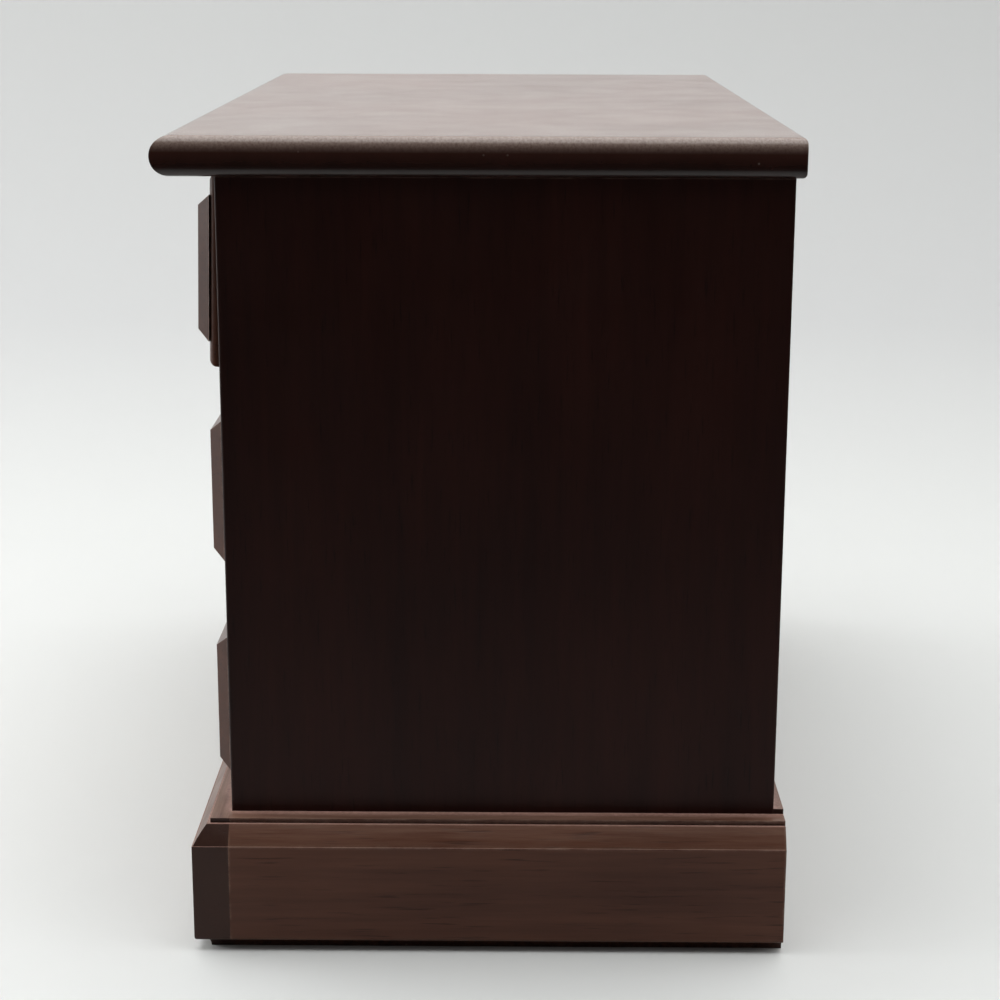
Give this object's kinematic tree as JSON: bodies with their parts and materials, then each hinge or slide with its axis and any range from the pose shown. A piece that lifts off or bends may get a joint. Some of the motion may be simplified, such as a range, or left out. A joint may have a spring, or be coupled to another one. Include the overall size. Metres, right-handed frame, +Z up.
{
  "type": "musical jewelry box",
  "caption": "Block-front wooden jewelry box with a hinged lid over a lined compartment, two sliding drawers, a moulded plinth and a wind-up musical movement.",
  "frame": {"origin": "on the floor, under the centre of the overall box", "axes": "+X along the front to the viewer's right, +Y to the back, +Z up"},
  "size_m": [0.2862, 0.1632, 0.2014],
  "materials": {
    "case_wood": "dark walnut stain under satin lacquer",
    "plinth_wood": "dark walnut stain under satin lacquer",
    "inner_wood": "plain light wood",
    "velvet": "short-pile velvet",
    "hinge_brass": "plain",
    "pull_brass": "antiqued",
    "movement_brass": "polished",
    "bedplate_metal": "plated casting",
    "steel": "ground",
    "clear_window": "clear",
    "mirror_glass": "polished"
  },
  "bodies": {
    "case": {"side_panel_left": "case_wood", "side_panel_right": "case_wood", "back_panel": "case_wood", "case_bottom": "inner_wood", "drawer_divider": "inner_wood", "compartment_floor": "inner_wood", "false_front": "case_wood", "false_front_block": "case_wood", "plinth_front": "plinth_wood", "plinth_left": "plinth_wood", "plinth_right": "plinth_wood", "plinth_back": "plinth_wood", "hinge_case_leaves": "hinge_brass", "hinge_pins": "hinge_brass", "hinge_case_screws": "hinge_brass", "compartment_lining": "velvet", "compartment_partitions": "case_wood", "ring_rolls": "velvet", "movement_window": "clear_window", "bedplate": "bedplate_metal", "movement_screws": "steel", "spring_housing": "movement_brass", "comb": "steel", "comb_screws": "steel", "governor_frame": "movement_brass", "false_pull_plate": "pull_brass", "false_pull_posts": "pull_brass"},
    "lid": {"lid_board": "case_wood", "hinge_lid_leaves": "hinge_brass", "hinge_lid_screws": "hinge_brass", "mirror_frame": "case_wood", "mirror": "mirror_glass"},
    "winding_train": {"great_wheel": "movement_brass", "winding_arbor": "steel", "winding_key": "movement_brass"},
    "cylinder_assembly": {"cylinder": "movement_brass", "cylinder_arbor": "steel"},
    "intermediate": {"intermediate_wheel": "movement_brass"},
    "fly": {"governor_fly": "movement_brass"},
    "stop": {"stop_lever": "movement_brass"},
    "false_bail": {"false_pull_bail": "pull_brass"},
    "lower_drawer": {"lower_drawer_front": "case_wood", "lower_drawer_block": "case_wood", "lower_drawer_sides": "inner_wood", "lower_drawer_bottom": "inner_wood", "lower_drawer_back": "inner_wood", "lower_drawer_lining": "velvet", "lower_pull_plate": "pull_brass", "lower_pull_posts": "pull_brass"},
    "lower_bail": {"lower_pull_bail": "pull_brass"},
    "upper_drawer": {"upper_drawer_front": "case_wood", "upper_drawer_block": "case_wood", "upper_drawer_sides": "inner_wood", "upper_drawer_bottom": "inner_wood", "upper_drawer_back": "inner_wood", "upper_drawer_lining": "velvet", "upper_pull_plate": "pull_brass", "upper_pull_posts": "pull_brass"},
    "upper_bail": {"upper_pull_bail": "pull_brass"}
  },
  "joints": [
    {"name": "lid_hinge", "type": "hinge", "parent": "case", "child": "lid", "pos_m": [0, 0.06857, 0.1915], "axis": [-1, 0, 0], "range_deg": [0, 98]},
    {"name": "lower_drawer_slide", "type": "slide", "parent": "case", "child": "lower_drawer", "axis": [0, -1, 0], "range_m": [0, 0.1]},
    {"name": "upper_drawer_slide", "type": "slide", "parent": "case", "child": "upper_drawer", "axis": [0, -1, 0], "range_m": [0, 0.1]},
    {"name": "false_bail_swing", "type": "hinge", "parent": "case", "child": "false_bail", "pos_m": [0, -0.07651, 0.16897], "axis": [-1, 0, 0], "range_deg": [0, 85]},
    {"name": "lower_bail_swing", "type": "hinge", "parent": "lower_drawer", "child": "lower_bail", "pos_m": [0, -0.07477, 0.0584], "axis": [-1, 0, 0], "range_deg": [0, 85]},
    {"name": "upper_bail_swing", "type": "hinge", "parent": "upper_drawer", "child": "upper_bail", "pos_m": [0, -0.07477, 0.1137], "axis": [-1, 0, 0], "range_deg": [0, 85]},
    {"name": "key_turn", "type": "hinge", "parent": "case", "child": "winding_train", "pos_m": [-0.1086, 0.06258, 0.162], "axis": [0, 1, 0], "continuous": true},
    {"name": "cylinder_turn", "type": "hinge", "parent": "case", "child": "cylinder_assembly", "pos_m": [-0.0942, 0.04893, 0.162], "axis": [1, 0, 0], "continuous": true},
    {"name": "intermediate_turn", "type": "hinge", "parent": "case", "child": "intermediate", "pos_m": [-0.0718, 0.04893, 0.154], "axis": [1, 0, 0], "continuous": true},
    {"name": "fly_turn", "type": "hinge", "parent": "case", "child": "fly", "pos_m": [-0.0713, 0.05622, 0.154], "axis": [0, 0, 1], "continuous": true},
    {"name": "stop_lever_pivot", "type": "hinge", "parent": "case", "child": "stop", "pos_m": [-0.0683, 0.05622, 0.1791], "axis": [-1, 0, 0], "range_deg": [0, 10]}
  ],
  "couplings": [
    {"joint": "cylinder_turn", "follows": "key_turn", "ratio": -4},
    {"joint": "intermediate_turn", "follows": "key_turn", "ratio": 12},
    {"joint": "fly_turn", "follows": "key_turn", "ratio": -96},
    {"joint": "stop_lever_pivot", "follows": "lid_hinge", "ratio": 0.08}
  ]
}
